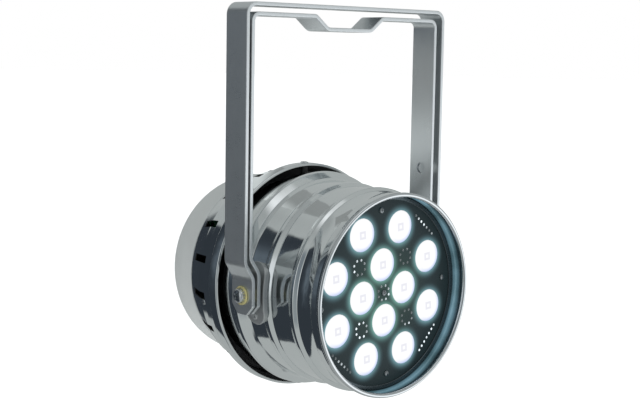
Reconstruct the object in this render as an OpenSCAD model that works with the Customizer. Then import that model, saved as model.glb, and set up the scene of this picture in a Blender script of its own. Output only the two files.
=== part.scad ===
// Par can light: a short polished can on a double hanging bracket, with a twelve-lens LED front.
// Row frame: origin at the hanging hole on top of the outer bracket, +Z up, -Y the way the light shines.

/* [Can] */
// Outer diameter of the rolled front rim
rim_d = 220; // [210:1:225]
// Sheet thickness of the can and the rear cap
wall = 1.4; // [1:0.1:1.6]
// Diameter of the rolled bead at the front rim
bead_d = 5; // [4:0.5:6]
// Distance from the tilt axis to the centre of the front bead
rim_ahead = 92; // [90:1:94]
// Distance from the tilt axis to the flat back of the rear cap
back_behind = 195; // [193:1:197]
// How far the can points below the horizontal at rest
rest_tilt = 1; // [0:0.5:3]

/* [Brackets] */
// Width of both brackets' flat bar
bar_w = 34; // [30:1:38]
// Thickness of both brackets' flat bar
bar_t = 4; // [3:0.5:4]
// Height of the outer bracket's top face above the tilt axis
outer_rise = 303; // [295:1:315]
// Height of the inner bracket's top face above the tilt axis
inner_rise = 293; // [285:1:294]
// Half the width across the outer bracket's straight legs
outer_half_w = 144.5; // [144:0.5:148]
// Half the width across the inner bracket's straight legs
inner_half_w = 135; // [134.5:0.5:135.5]
// How far the inner bracket's upper part sits to one side
inner_shift = -3; // [-3:0.5:0]
// Diameter of the hanging hole
hang_hole_d = 12.5; // [10.5:0.5:13]
// Diameter of the side holes in the inner bracket's legs
side_hole_d = 12; // [10:0.5:13]

/* [LED front] */
// Depth of the front plate behind the rim bead
plate_recess = 18; // [16:1:22]
// Turn of the front plate about the can's axis
plate_turn = 5; // [0:1:10]
// Radius of the inner ring of four lenses
inner_lens_pcr = 30.6; // [28:0.2:32]
// Radius of the outer ring of eight lenses
outer_lens_pcr = 73; // [70:0.5:75]
// Diameter of each lens opening
lens_d = 36; // [32:1:38]

/* [Vents] */
// Number of slots round the rear cap
vent_count = 18; // [12:2:20]
// Length of a slot along the can
vent_l = 29.5; // [18:0.5:30]
// Width of a slot round the can
vent_w = 8.5; // [6:0.5:9]

/* [Hidden] */
$fn = 96;
eps = 0.01;
SMALL = 32;      // segments on small round pieces
run_fit = 0.06;  // radial gap of a shaft that turns in a hole
gap = 0.3;       // gap between pieces that move past each other

// ---- formed sheet and flat bar -------------------------------------------------------------
// A run of bar or sheet is a list of [x, y, bend radius] corners. form() rounds the corners and
// gives [point, heading] samples, and ribbon() thickens them from offset a to offset b, measured
// to the left of the way the run goes.
function unit(v) = v / norm(v);
function heading(v) = atan2(v[1], v[0]);
function left_of(h) = [-sin(h), cos(h)];
function xy(p) = [p[0], p[1]];
function turn_of(a, b) = let (t = heading(b) - heading(a)) t > 180 ? t - 360 : t < -180 ? t + 360 : t;
function bend(p, q, r, n) =
    let (a = unit(xy(q) - xy(p)), b = unit(xy(r) - xy(q)), t = turn_of(a, b), rad = q[2])
    abs(t) < 1 || rad == 0 ? [for (v = [a, b]) [xy(q), heading(a) + t / 2]] :
    let (
        start = xy(q) - a * rad * tan(abs(t) / 2),
        side = t > 0 ? 1 : -1,
        centre = start + side * rad * left_of(heading(a))
    )
    [for (k = [0:n]) let (h = heading(a) + t * k / n) [centre - side * rad * left_of(h), h]];
function form(run, n = 6) =
    let (last = len(run) - 1, a = unit(xy(run[1]) - xy(run[0])), b = unit(xy(run[last]) - xy(run[last - 1])))
    concat(
        [[xy(run[0]), heading(a)]],
        [for (i = [1:last - 1]) each bend(run[i - 1], run[i], run[i + 1], n)],
        [[xy(run[last]), heading(b)]]
    );
module ribbon(run, a, b, n = 6) {
    f = form(run, n);
    last = len(f) - 1;
    near = [for (s = f) s[0] + a * left_of(s[1])];
    far = [for (i = [last:-1:0]) f[i][0] + b * left_of(f[i][1])];
    polygon(concat(near, far));
}

// ---- shared placing ------------------------------------------------------------------------
rim_r = rim_d / 2;
bead_r = bead_d / 2;
// Puts local x right, y up and z forward along the can's axis, with the tilt axis at z = 0.
module in_can() {
    translate([0, 0, -outer_rise]) rotate([90 + rest_tilt, 0, 0]) children();
}
// The front plate's own turn, for all that is fixed to it.
module in_plate() {
    in_can() rotate([0, 0, plate_turn]) children();
}
module at_pivot() {
    translate([0, 0, -outer_rise]) children();
}
// Both ends of the tilt axis; children point outward along +X.
module both_sides() {
    for (side = [0, 1]) mirror([side, 0, 0]) children();
}
// A piece set on the can's side at a polar angle, its +Z pointing outward.
module radial(angle, z) {
    rotate([0, 0, angle]) translate([0, 0, z]) rotate([0, 90, 0]) children();
}
module ring(r_out, r_in, h) {
    difference() {
        cylinder(r = r_out, h = h);
        translate([0, 0, -eps]) cylinder(r = r_in, h = h + 2 * eps);
    }
}
// Pan head with a cross recess, standing on z = 0.
module pan_head(r, h) {
    recess = h * 0.45;
    difference() {
        intersection() {
            cylinder(r = r, h = h);
            translate([0, 0, h - r * 1.6]) sphere(r = r * 1.6);
        }
        for (a = [0, 90])
            rotate([0, 0, a]) translate([-r * 0.6, -r * 0.11, h - recess]) cube([r * 1.2, r * 0.22, h]);
    }
}

// ---- brackets ------------------------------------------------------------------------------
foot_drop = 20.3;      // how far a leg runs below the tilt axis
foot_chamfer = 10;
outer_foot_x = 134;    // outer face of the outer bracket beside the pivot
inner_foot_x = 126.8;  // outer face of the inner bracket beside the pivot
outer_jog = [18, 34.5];
inner_jog = [23.5, 39.5];
jog_bend = 14;
outer_corner = 13;
inner_corner = 10;
dip_depth = 13.6;
dip_flat = 30.8;
dip_shoulder = 48;
dip_bend = 8;
shank_r = 4;
side_hole_rise = 121;

function outer_side(s) = [
    [s * outer_foot_x, -foot_drop, 0],
    [s * outer_foot_x, outer_jog[0], jog_bend],
    [s * outer_half_w, outer_jog[1], jog_bend],
    [s * outer_half_w, outer_rise, outer_corner]
];
function inner_side(s) = [
    [s * inner_foot_x, -foot_drop, 0],
    [s * inner_foot_x, inner_jog[0], jog_bend],
    [s * inner_half_w + inner_shift, inner_jog[1], jog_bend],
    [s * inner_half_w + inner_shift, inner_rise, inner_corner],
    [s * dip_shoulder + inner_shift, inner_rise, dip_bend],
    [s * dip_flat + inner_shift, inner_rise - dip_depth, dip_bend]
];
function reversed(v) = [for (i = [len(v) - 1:-1:0]) v[i]];

module flat_bar(run) {
    rotate([90, 0, 0]) translate([0, 0, -bar_w / 2]) linear_extrude(bar_w) ribbon(run, 0, bar_t, 8);
}
module foot_trim() {
    reach = outer_half_w * 3;
    for (s = [1, -1])
        translate([-reach / 2, 0, 0]) rotate([90, 0, 90]) linear_extrude(reach)
            polygon([
                [s * (bar_w / 2 - foot_chamfer), -foot_drop - eps],
                [s * (bar_w / 2 + eps), -foot_drop - eps],
                [s * (bar_w / 2 + eps), -foot_drop + foot_chamfer]
            ]);
}
module cross_bore(x, r) {
    translate([-x, 0, 0]) rotate([0, 90, 0]) cylinder(r = r, h = 2 * x);
}
module outer_bracket() {
    color("#9a9d9f") at_pivot() difference() {
        flat_bar(concat(outer_side(1), reversed(outer_side(-1))));
        foot_trim();
        cross_bore(outer_half_w + 1, shank_r + run_fit);
        translate([0, 0, outer_rise - bar_t - 1]) cylinder(d = hang_hole_d, h = bar_t + 2);
    }
}
module inner_bracket() {
    color("#a4a7a8") at_pivot() difference() {
        flat_bar(concat(inner_side(1), reversed(inner_side(-1))));
        foot_trim();
        cross_bore(inner_half_w + 5, shank_r + run_fit);
        translate([0, 0, side_hole_rise]) cross_bore(inner_half_w + 5, side_hole_d / 2);
    }
}

// ---- pivot hardware ------------------------------------------------------------------------
yellow_t = 1.5;
toothed_t = 1.2;
pad_r = [112.7, 118.6];   // inner and outer radius of the curved pad
head_seat = outer_foot_x + gap + yellow_t + toothed_t;
bolt_end = 100;
module bolt_on_side() {
    translate([head_seat, 0, 0]) rotate([0, 90, 0]) pan_head(7.4, 5);
    translate([bolt_end, 0, 0]) rotate([0, 90, 0]) cylinder(r = shank_r, h = head_seat - bolt_end + eps, $fn = SMALL);
}
module pivot_bolts() {
    color("#b9bcbe") in_can() both_sides() bolt_on_side();
}
module washer_on_side(x, r, t, bore) {
    translate([x, 0, 0]) rotate([0, 90, 0]) ring(r, bore, t);
}
module yellow_washers() {
    color("#c9b45a") in_can() both_sides()
        washer_on_side(outer_foot_x + gap, 10, yellow_t, shank_r + 0.2);
}
module toothed_washers() {
    teeth = 14;
    color("#a9acae") in_can() both_sides() translate([outer_foot_x + gap + yellow_t, 0, 0]) rotate([0, 90, 0])
        difference() {
            union() {
                cylinder(r = 7.2, h = toothed_t);
                for (i = [0:teeth - 1])
                    rotate([0, 0, i * 360 / teeth]) translate([6.6, -0.6, 0]) cube([1.8, 1.2, toothed_t]);
            }
            translate([0, 0, -eps]) cylinder(r = shank_r + 0.2, h = toothed_t + 2 * eps);
        }
}
module bracket_spacers() {
    inner_face = outer_foot_x - bar_t;
    color("#c9b45a") in_can() both_sides()
        washer_on_side(inner_foot_x + gap, 9, inner_face - inner_foot_x - 2 * gap, shank_r + 0.2);
}
module pivot_spacers() {
    color("#3a3c3e") in_can() both_sides()
        washer_on_side(pad_r[1] + 0.05, 9, inner_foot_x - bar_t - gap - pad_r[1] - 0.05, shank_r + 0.2);
}
module pivot_nuts() {
    nut_h = 7;
    color("#b9bcbe") in_can() both_sides() translate([bolt_end + 1, 0, 0]) rotate([0, 90, 0]) difference() {
        cylinder(r = 7.5, h = nut_h, $fn = 6);
        translate([0, 0, -eps]) cylinder(r = shank_r + 0.05, h = nut_h + 2 * eps);
    }
}
pad_w = 32;
pad_h = 69;
rivet_y = 24;
module pad_outline(h) {
    r = pad_w / 2;
    for (s = [1, -1]) translate([0, s * (pad_h - pad_w) / 2, 0]) cylinder(r = r, h = h);
    translate([-r, -(pad_h - pad_w) / 2, 0]) cube([2 * r, pad_h - pad_w, h]);
}
module side_pads() {
    color("#8b8e90") in_can() both_sides() difference() {
        intersection() {
            translate([0, 0, -pad_w]) ring(pad_r[1], pad_r[0], 2 * pad_w);
            translate([pad_r[0] - 20, 0, 0]) rotate([0, 90, 0]) pad_outline(40);
        }
        cross_bore(pad_r[1] + 5, shank_r + 0.2);
        for (s = [1, -1]) radial(s * pad_rivet_angle(), 0) cylinder(r = 2.2, h = 2 * pad_r[1], $fn = SMALL);
    }
}
function pad_rivet_angle() = asin(rivet_y / pad_r[1]);
module pad_rivets() {
    color("#a9acae") in_can() both_sides() for (s = [1, -1]) radial(s * pad_rivet_angle(), 0) difference() {
        union() {
            translate([0, 0, rivet_tail_r]) cylinder(r = 2.1, h = pad_r[1] - rivet_tail_r + eps, $fn = SMALL);
            translate([0, 0, pad_r[1] + 0.05]) intersection() {
                cylinder(r = 4.2, h = 1.5, $fn = SMALL);
                translate([0, 0, 1.5 - 7]) sphere(r = 7);
            }
        }
        translate([0, 0, pad_r[1] - 3]) cylinder(r = 1.3, h = 10, $fn = SMALL);
    }
}
rivet_tail_r = 107;

// ---- can -----------------------------------------------------------------------------------
// Outer face of the can as [radius, z, bend], from the neck inside the rear cap to the rim.
neck_r = 112;
neck_start = -84;
shoulder_z = -50;
can_run = [
    [neck_r, neck_start, 0],
    [neck_r, shoulder_z - 1.8, 1.6],
    [118.2, shoulder_z, 1.6],
    [117.4, -35.8, 1.5],
    [120.6, -33, 2],
    [120.2, -28.5, 4],
    [113.6, -21.5, 3],
    [111.6, -17.5, 4],
    [110.7, 4.5, 3],
    [112.4, 8.5, 2],
    [112.2, 12.5, 2],
    [109, 17.5, 3],
    [108.7, 46, 4],
    [111.4, 51, 3],
    [111.3, 54.5, 2],
    [108, 58, 2],
    [106.2, 68.5, 45],
    [107.8, 79, 1.5],
    [108.8, 80.5, 1.5],
    [108.8, 87.5, 2],
    [106.4, rim_ahead, 0]
];
module can_shell() {
    color("#d2d5d7") in_can() difference() {
        union() {
            rotate_extrude() ribbon(can_run, 0, wall, 5);
            rotate_extrude() translate([rim_r - bead_r, rim_ahead]) circle(r = bead_r, $fn = 24);
        }
        cross_bore(rim_r + 10, shank_r + 0.2);
        for (side = [0, 180])
            for (s = [1, -1])
                radial(side + s * pad_rivet_angle(), 0) cylinder(r = 2.2, h = 2 * rim_r, $fn = SMALL);
        for (a = flange_angles) radial(a, flange_screw_z) cylinder(r = 1.7, h = 2 * rim_r, $fn = SMALL);
    }
}

// ---- rear cap ------------------------------------------------------------------------------
dome_r = 60;
dome_centre = [46, -142.5];
panel_seat_r = 75;
cap_lip_r = 66;
dome_end = asin((back_behind + dome_centre[1]) / dome_r);
band_start = [117.2, -99];   // the vent band ahead of the slots, a shallow cone
band_end = [118.4, -87.8];
band_slope = atan2(band_end[0] - band_start[0], band_end[1] - band_start[1]);
flange_r = 127.2;
dome_run = [for (k = [10:-1:0]) let (a = dome_end * k / 10) [
    dome_centre[0] + dome_r * cos(a),
    dome_centre[1] - dome_r * sin(a),
    0
]];
cap_run = concat(
    [[cap_lip_r, -back_behind, 0]],
    dome_run,
    [
        [106.2, -128.5, 1],
        [107.6, -126, 1],
        [band_start[0], band_start[1], 20],
        [band_end[0], band_end[1], 0],
        [119.6, -87, 0.8],
        [120.2, -72, 3],
        [flange_r, -67.6, 2.5],
        [flange_r, -55.2, 1.5],
        [124.8, -54, 0]
    ]
);
vent_z = -103.25;
vent_first = 9;
flange_screw_z = -61.5;
flange_angles = [90, 270];
vent_screw_z = -90.75;
vent_screw_r = band_start[0] + (vent_screw_z - band_start[1]) * tan(band_slope);
vent_screw_angles = [12.3, 102.3, 192.3, 282.3];
// On the vent band, +Z square to its slope.
module on_band(angle) {
    rotate([0, 0, angle]) translate([vent_screw_r, 0, vent_screw_z]) rotate([0, 90 + band_slope, 0]) children();
}
module rear_cap() {
    color("#b9bcbd") in_can() difference() {
        rotate_extrude() ribbon(cap_run, 0, wall, 6);
        for (i = [0:vent_count - 1]) radial(vent_first + i * 360 / vent_count, vent_z)
            translate([-vent_l / 2, -vent_w / 2, 90]) cube([vent_l, vent_w, 50]);
        for (a = flange_angles) radial(a, flange_screw_z) cylinder(r = 1.7, h = 2 * rim_r, $fn = SMALL);
        for (a = vent_screw_angles) on_band(a) translate([0, 0, -5]) cylinder(r = 1.5, h = 10, $fn = SMALL);
        for (a = panel_screw_angles) rotate([0, 0, a]) translate([panel_screw_r, 0, -back_behind - 1])
            cylinder(r = 1.6, h = 10, $fn = SMALL);
    }
}
module flange_screws() {
    color("#a9acae") in_can() for (a = flange_angles) radial(a, flange_screw_z) {
        translate([0, 0, flange_r]) pan_head(4.6, 1.8, $fn = SMALL);
        translate([0, 0, 108]) cylinder(r = 1.6, h = flange_r - 108 + eps, $fn = SMALL);
    }
}
module flange_spacers() {
    color("#b9bcbe") in_can() for (a = flange_angles) radial(a, flange_screw_z)
        translate([0, 0, neck_r + 0.4]) difference() {
            cylinder(r = 4, h = 13, $fn = SMALL);
            translate([0, 0, -1]) cylinder(r = 1.75, h = 20, $fn = SMALL);
        }
}
module vent_screws() {
    color("#a9acae") in_can() for (a = vent_screw_angles) on_band(a) {
        pan_head(2.9, 1.6, $fn = SMALL);
        translate([0, 0, -8]) cylinder(r = 1.4, h = 8 + eps, $fn = SMALL);
    }
}

// ---- LED front -----------------------------------------------------------------------------
plate_t = 2;
plate_z = rim_ahead - plate_recess;   // front face of the plate
plate_back = plate_z - plate_t;
plate_r = rim_r - 5;
screw_pcr = 90;
ring_pcr = 48;
ring_hole_pcr = 8;
ring_hole_r = 1.05;
line_dist = 90.5;
line_pitch = 5.6;
line_count = 7;
lens_r = lens_d / 2;
lens_rim_gap = 0.2;
inner_lens_angles = [0, 90, 180, 270];
lens_spots = concat(
    [for (a = inner_lens_angles) [inner_lens_pcr, a]],
    [for (k = [0:7]) [outer_lens_pcr, 22.5 + 45 * k]]
);
screw_spots = concat([[0, 0]], [for (a = [0, 90, 180, 270]) [screw_pcr, a]]);
module polar(spot) {
    rotate([0, 0, spot[1]]) translate([spot[0], 0, 0]) children();
}
module front_plate() {
    ring_spots = concat([[0, 0]], [for (a = [45, 135, 225, 315]) [ring_pcr, a]]);
    color("#14181a") in_plate() translate([0, 0, plate_back]) difference() {
        cylinder(r = plate_r, h = plate_t);
        for (s = lens_spots) polar(s) translate([0, 0, -1]) cylinder(r = lens_r, h = plate_t + 2);
        for (s = screw_spots) polar(s) translate([0, 0, -1]) cylinder(r = 1.9, h = plate_t + 2, $fn = SMALL);
        for (s = ring_spots) polar(s) for (k = [0:7]) rotate([0, 0, 22.5 + 45 * k])
            translate([ring_hole_pcr, 0, -1]) cylinder(r = ring_hole_r, h = plate_t + 2, $fn = 16);
        for (a = [45, 135, 225, 315]) rotate([0, 0, a]) for (k = [0:line_count - 1])
            translate([line_dist, (k - (line_count - 1) / 2) * line_pitch, -1])
                cylinder(r = ring_hole_r, h = plate_t + 2, $fn = 16);
    }
}
module plate_ring() {
    color("#2a2f33") in_can() translate([0, 0, plate_z]) ring(plate_r, plate_r - 4.5, 2);
}
module plate_screws() {
    color("#a9acae") in_plate() for (s = screw_spots) polar(s) {
        translate([0, 0, plate_z]) pan_head(3.4, 2, $fn = SMALL);
        translate([0, 0, plate_z - 9]) cylinder(r = 1.5, h = 9 + eps, $fn = SMALL);
    }
}
board_z = 47;
board_t = 1.6;
module plate_standoffs() {
    color("#b08d4a") in_plate() for (s = screw_spots) polar(s) translate([0, 0, board_z]) difference() {
        cylinder(r = 3.6, h = plate_back - board_z, $fn = 6);
        translate([0, 0, plate_back - board_z - 12]) cylinder(r = 1.55, h = 20, $fn = SMALL);
    }
}
// One collimating lens: a shallow flanged front face on a cone that narrows to the emitter.
module lens(i) {
    r = lens_r - lens_rim_gap;
    mouth = 4;
    bottom = board_z + board_t + 3.4;
    color("#f4f8fa") in_plate() polar(lens_spots[i - 1]) rotate_extrude() polygon([
        [0, bottom + 4],
        [mouth, bottom + 4],
        [mouth + 0.6, bottom],
        [mouth + 2.6, bottom],
        [r - 2.4, plate_back - 3],
        [r, plate_back - 3],
        [r, plate_back + 1.2],
        [r - 0.8, plate_back + 1.6],
        [0, plate_back + 1.6]
    ]);
}
module lens_holders() {
    h = plate_back - board_z - board_t - 0.4;
    color("#23272a") in_plate() for (s = lens_spots) polar(s) translate([0, 0, board_z + board_t + 0.2])
        difference() {
            cylinder(r = lens_r + 1.8, h = h);
            translate([0, 0, 1.6]) cylinder(r = lens_r, h = h);
            translate([0, 0, -1]) cylinder(r = 7.2, h = h);
        }
}
module led_board() {
    color("#e8ebe6") in_plate() translate([0, 0, board_z]) difference() {
        cylinder(r = 84, h = board_t);
        translate([0, 0, -1]) cylinder(r = 4.4, h = board_t + 2);
    }
}
module led_emitters() {
    color("#f2e9a0") in_plate() for (s = lens_spots) polar(s) translate([0, 0, board_z + board_t]) {
        translate([-4, -4, 0]) cube([8, 8, 1.2]);
        translate([0, 0, 1.2 - eps]) intersection() {
            sphere(r = 2.8);
            cylinder(r = 3, h = 3);
        }
    }
}
sink_t = 6;
sink_z = board_z - sink_t;
fin_h = 24;
fin_t = 2;
fin_pitch = 9.5;
fin_half = 9;
sink_r = 98;
module heatsink() {
    color("#8e9193") in_plate() difference() {
        union() {
            translate([0, 0, sink_z]) cylinder(r = sink_r, h = sink_t);
            for (k = [-fin_half:fin_half]) let (x = k * fin_pitch, half = sqrt(sink_r * sink_r - x * x) - 4)
                translate([x - fin_t / 2, -half, sink_z - fin_h]) cube([fin_t, 2 * half, fin_h + eps]);
        }
        for (a = foot_angles) rotate([0, 0, a]) translate([foot_pcr, 0, sink_z - 1]) cylinder(r = 1.6, h = sink_t + 2);
    }
}
foot_angles = [45, 135, 225, 315];
foot_pcr = 93;
module heatsink_feet() {
    color("#b9bcbe") in_plate() for (a = foot_angles) rotate([0, 0, a]) {
        translate([foot_pcr - 6, -7, board_z + 0.05]) difference() {
            cube([18.6, 14, 1.5]);
            translate([6, 7, -1]) cylinder(r = 1.6, h = 4, $fn = SMALL);
        }
        translate([foot_pcr + 11.1, -7, board_z + 0.05]) cube([1.5, 14, 14]);
    }
}

// ---- cooling, supply and control -----------------------------------------------------------
fan_size = 80;
fan_t = 20;
fan_z = sink_z - fin_h - 2 - fan_t;
fan_bore = 76;
fan_hub = 17;
module fan_frame() {
    half = fan_size / 2;
    color("#1d1f21") in_can() translate([0, 0, fan_z]) {
        difference() {
            translate([-half, -half, 0]) cube([fan_size, fan_size, fan_t]);
            translate([0, 0, -1]) cylinder(d = fan_bore, h = fan_t + 2);
            for (x = [-1, 1]) for (y = [-1, 1])
                translate([x * (half - 4.3), y * (half - 4.3), -1]) cylinder(r = 2.2, h = fan_t + 2, $fn = SMALL);
        }
        for (a = [45, 135, 225, 315]) rotate([0, 0, a]) translate([10, -1.6, 0]) cube([fan_bore / 2 - 9, 3.2, 2.4]);
        difference() {
            cylinder(r = fan_hub - 1, h = 3);
            translate([0, 0, 1]) cylinder(r = 1.56, h = 4, $fn = SMALL);
        }
    }
}
module fan_rotor() {
    blades = 7;
    reach = fan_bore / 2 - 1.4 - fan_hub;
    color("#2b2e30") in_can() translate([0, 0, fan_z]) {
        translate([0, 0, 3.6]) cylinder(r = fan_hub, h = fan_t - 4.4);
        translate([0, 0, 1.3]) cylinder(r = 1.5, h = 3, $fn = SMALL);
        for (i = [0:blades - 1]) rotate([0, 0, i * 360 / blades]) translate([fan_hub - 1, 0, fan_t / 2 + 1])
            rotate([38, 0, 0]) translate([0, -9, -0.7]) cube([reach, 18, 1.4]);
    }
}
tray_y = -6;
tray_z = [-92, -22];
tray_half_w = 84;
module chassis_tray() {
    depth = tray_z[1] - tray_z[0];
    color("#9ea1a3") in_can() difference() {
        union() {
            translate([-tray_half_w, tray_y, tray_z[0]]) cube([2 * tray_half_w, 2, depth]);
            for (s = [-1, 1]) translate([s * tray_half_w - 1, tray_y, tray_z[0]]) cube([2, 14, depth]);
        }
        for (s = [-1, 1]) for (z = [0.2, 0.8]) translate([s * tray_half_w - 4, tray_y + 8, tray_z[0] + z * depth])
            rotate([0, 90, 0]) cylinder(r = 1.6, h = 8, $fn = SMALL);
    }
}
supply_size = [118, 40, 62];
module power_supply() {
    w = supply_size[0];
    h = supply_size[1];
    d = supply_size[2];
    low = tray_y - 0.05 - h;
    back = tray_z[0] + 4;
    color("#aeb1b3") in_can() {
        difference() {
            translate([-w / 2, low, back]) cube([w, h, d]);
            for (k = [-7:7]) translate([k * 6 - 1.4, low - 1, back + 8]) cube([2.8, 3, d - 16]);
        }
        for (k = [0:4]) translate([-w / 2 - 9, low + 6, back + 6 + k * 10]) difference() {
            cube([9 + eps, 16, 8]);
            translate([4, 16, 4]) rotate([90, 0, 0]) cylinder(r = 2.4, h = 4, $fn = SMALL);
        }
    }
}
control_y = 10;
module driver_board() {
    color("#1f5a3c") in_can() translate([-66, control_y, tray_z[0] + 4]) {
        difference() {
            cube([132, 1.6, 60]);
            for (x = [5, 127]) for (z = [5, 55]) translate([x, -1, z]) rotate([-90, 0, 0]) cylinder(r = 1.7, h = 4, $fn = SMALL);
        }
        for (k = [0:3]) translate([24 + k * 26, 1.6 - eps, 16]) rotate([-90, 0, 0]) cylinder(r = 6, h = 14, $fn = SMALL);
        for (k = [0:3]) translate([16 + k * 26, 1.6 - eps, 30]) cube([14, 9, 14]);
        translate([54, 1.6 - eps, 48]) cube([16, 2.2, 10]);
    }
}
module board_spacers() {
    color("#b08d4a") in_can() for (x = [-61, 61]) for (z = [9, 59])
        translate([x, tray_y + 2.05, tray_z[0] + z]) rotate([-90, 0, 0])
            cylinder(r = 2.8, h = control_y - tray_y - 2.1, $fn = 6);
}

// ---- rear panel: local x is mirrored when it is read from behind ----------------------------
panel_t = 2;
panel_r = 73.5;
panel_screw_r = 70;
panel_screw_angles = [45, 135, 225, 315];
panel_face = -back_behind - panel_t - 0.05;
window_at = [0, 38];
window_size = [46, 18];
button_y = 15;
button_pitch = 17;
button_r = 5;
dmx_x = 31;
dmx_y = -13;
inlet_at = [0, -47];
fuse_at = [0, -12];
module at_panel(x, y) {
    translate([x, y, panel_face]) children();
}
module panel_hole(x, y, r) {
    at_panel(x, y) translate([0, 0, -1]) cylinder(r = r, h = panel_t + 2);
}
module rear_panel() {
    color("#17191b") in_can() difference() {
        at_panel(0, 0) cylinder(r = panel_r, h = panel_t);
        at_panel(window_at[0] - window_size[0] / 2, window_at[1] - window_size[1] / 2)
            translate([0, 0, -1]) cube([window_size[0], window_size[1], panel_t + 2]);
        for (k = [0:3]) panel_hole((k - 1.5) * button_pitch, button_y, button_r + gap);
        for (s = [-1, 1]) panel_hole(s * dmx_x, dmx_y, 11.2);
        at_panel(inlet_at[0] - 14, inlet_at[1] - 10) translate([0, 0, -1]) cube([28, 20, panel_t + 2]);
        panel_hole(fuse_at[0], fuse_at[1], 6.2);
        for (a = panel_screw_angles) polar([panel_screw_r, a]) at_panel(0, 0)
            translate([0, 0, -1]) cylinder(r = 1.6, h = panel_t + 2, $fn = SMALL);
    }
}
module panel_screws() {
    color("#a9acae") in_can() for (a = panel_screw_angles) polar([panel_screw_r, a]) at_panel(0, 0) {
        mirror([0, 0, 1]) pan_head(2.9, 1.6, $fn = SMALL);
        translate([0, 0, -eps]) cylinder(r = 1.4, h = 8, $fn = SMALL);
    }
}
module display_module() {
    color("#1f5a3c") in_can() at_panel(window_at[0], window_at[1]) {
        translate([-38, -14, 7]) cube([76, 26, 1.6]);
        translate([-22, -8, panel_t + 1.2]) cube([44, 16, 3.9]);
    }
}
module display_window() {
    color("#3a0d10") in_can() at_panel(window_at[0], window_at[1])
        translate([-window_size[0] / 2 + 0.1, -window_size[1] / 2 + 0.1, 0.4])
            cube([window_size[0] - 0.2, window_size[1] - 0.2, panel_t]);
}
button_travel = 1.2;
button_proud = 2.6;
module button(k) {
    color("#2a2c2e") in_can() at_panel((k - 1.5) * button_pitch, button_y) {
        translate([0, 0, -button_proud]) difference() {
            cylinder(r = button_r, h = button_proud + panel_t + 1.6);
            translate([0, 0, -11.4]) sphere(r = 12);
        }
        translate([0, 0, panel_t + 0.4]) cylinder(r = button_r + 1.6, h = 1.2);
    }
}
module button_menu() { button(3); }
module button_down() { button(2); }
module button_up() { button(1); }
module button_enter() { button(0); }

// Square flange outside the panel and a round body behind it; z grows into the can.
dmx_flange = [26, 31];
dmx_flange_t = 2;
module dmx_body(depth) {
    translate([-dmx_flange[0] / 2, -dmx_flange[1] / 2, -dmx_flange_t]) cube([dmx_flange[0], dmx_flange[1], dmx_flange_t]);
    translate([0, 0, -eps]) cylinder(r = 10.8, h = depth);
}
module dmx_pins(r, h) {
    for (a = [30, 150, 270]) rotate([0, 0, a]) translate([4.4, 0, 0]) cylinder(r = r, h = h, $fn = SMALL);
}
module dmx_input() {
    color("#3c3f42") in_can() at_panel(dmx_x, dmx_y) {
        difference() {
            dmx_body(24);
            translate([0, 0, -dmx_flange_t - 1]) cylinder(r = 9.2, h = 19);
        }
        translate([0, 0, 3]) dmx_pins(1.2, 13.2);
    }
}
latch_slot = [7, 5];
module dmx_output() {
    color("#3c3f42") in_can() at_panel(-dmx_x, dmx_y) difference() {
        dmx_body(24);
        translate([0, 0, -dmx_flange_t - 1]) difference() {
            cylinder(r = 9.4, h = 15);
            translate([0, 0, -1]) cylinder(r = 7.6, h = 17);
        }
        translate([0, 0, -dmx_flange_t - 1]) dmx_pins(1.35, 14);
        translate([-latch_slot[0] / 2 - gap, 10.4 - gap, -dmx_flange_t - 1])
            cube([latch_slot[0] + 2 * gap, latch_slot[1] - gap, dmx_flange_t + 1 - 0.2]);
    }
}
module output_latch() {
    color("#c8cbcd") in_can() at_panel(-dmx_x, dmx_y)
        translate([-latch_slot[0] / 2, 10.4, -dmx_flange_t - 1.6]) cube([latch_slot[0], latch_slot[1] - 1.6 - gap, 2.3]);
}
module power_inlet() {
    color("#1b1d1f") in_can() at_panel(inlet_at[0], inlet_at[1]) difference() {
        union() {
            translate([-24, -13, -2]) cube([48, 26, 2]);
            translate([-13.6, -9.6, -eps]) cube([27.2, 19.2, 24]);
        }
        translate([-12, -8, -3]) cube([24, 16, 21]);
        for (s = [-1, 1]) translate([s * 20, 0, -3]) cylinder(r = 1.6, h = 6, $fn = SMALL);
    }
}
module inlet_pins() {
    color("#c8cbcd") in_can() at_panel(inlet_at[0], inlet_at[1])
        for (p = [[-7, -2], [0, 2], [7, -2]]) translate([p[0] - 1, p[1] - 2, 5]) cube([2, 4, 13 - eps]);
}
module fuse_holder() {
    color("#1b1d1f") in_can() at_panel(fuse_at[0], fuse_at[1]) {
        translate([0, 0, -2]) cylinder(r = 8, h = 2);
        translate([0, 0, -6]) difference() {
            cylinder(r = 6.4, h = 4 + eps);
            translate([-5, -0.7, -1]) cube([10, 1.4, 2.4]);
        }
        translate([0, 0, -eps]) cylinder(r = 6, h = 26);
    }
}

outer_bracket();
inner_bracket();
pivot_bolts();
toothed_washers();
yellow_washers();
bracket_spacers();
pivot_spacers();
pivot_nuts();
side_pads();
pad_rivets();
can_shell();
rear_cap();
flange_screws();
flange_spacers();
vent_screws();
front_plate();
plate_ring();
plate_screws();
plate_standoffs();
lens(1);  // lens_1
lens(2);  // lens_2
lens(3);  // lens_3
lens(4);  // lens_4
lens(5);  // lens_5
lens(6);  // lens_6
lens(7);  // lens_7
lens(8);  // lens_8
lens(9);  // lens_9
lens(10);  // lens_10
lens(11);  // lens_11
lens(12);  // lens_12
lens_holders();
led_board();
led_emitters();
heatsink();
heatsink_feet();
fan_frame();
fan_rotor();
chassis_tray();
power_supply();
driver_board();
board_spacers();
rear_panel();
panel_screws();
display_module();
display_window();
button_menu();
button_down();
button_up();
button_enter();
dmx_input();
dmx_output();
output_latch();
power_inlet();
inlet_pins();
fuse_holder();
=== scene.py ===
import math

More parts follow.
